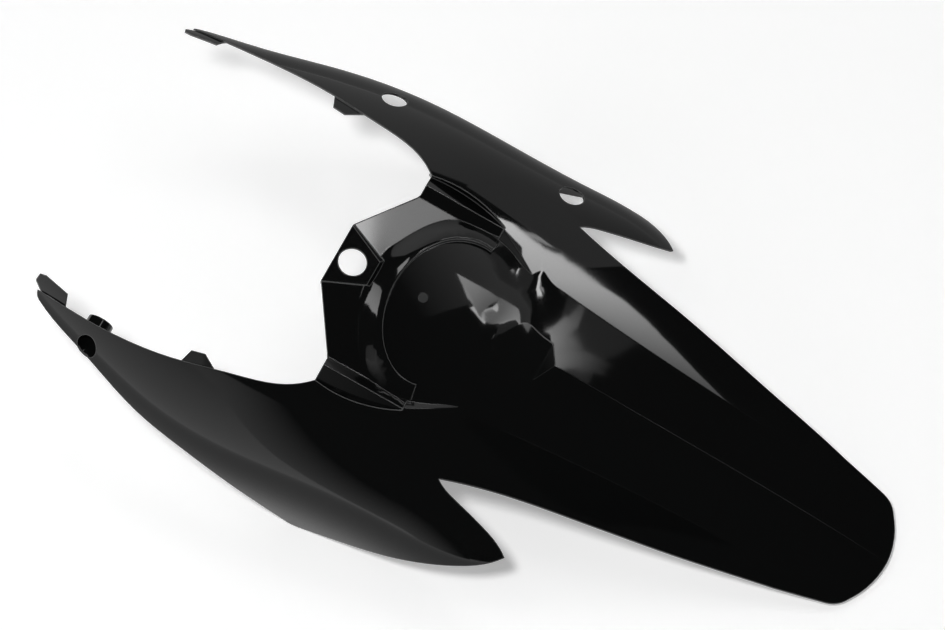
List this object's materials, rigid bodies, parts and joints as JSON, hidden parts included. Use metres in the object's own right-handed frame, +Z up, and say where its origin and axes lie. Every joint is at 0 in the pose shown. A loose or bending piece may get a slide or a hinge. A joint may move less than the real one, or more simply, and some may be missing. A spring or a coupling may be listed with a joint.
{
  "type": "motorcycle rear fender",
  "caption": "Moulded off-road motorcycle rear fender with side panels, ridged tapering tail, raised ring on the spine and railed front flange.",
  "frame": {"origin": "centre of the footprint on the floor, with the part standing on its panel corners and its tail edge", "axes": "+X rearward to the tail, +Y to the rider's right, +Z up"},
  "size_m": [0.78, 0.41, 0.1725],
  "materials": {
    "black_plastic": "gloss"
  },
  "bodies": {
    "root": {"rear_fender": "black_plastic"}
  },
  "joints": []
}
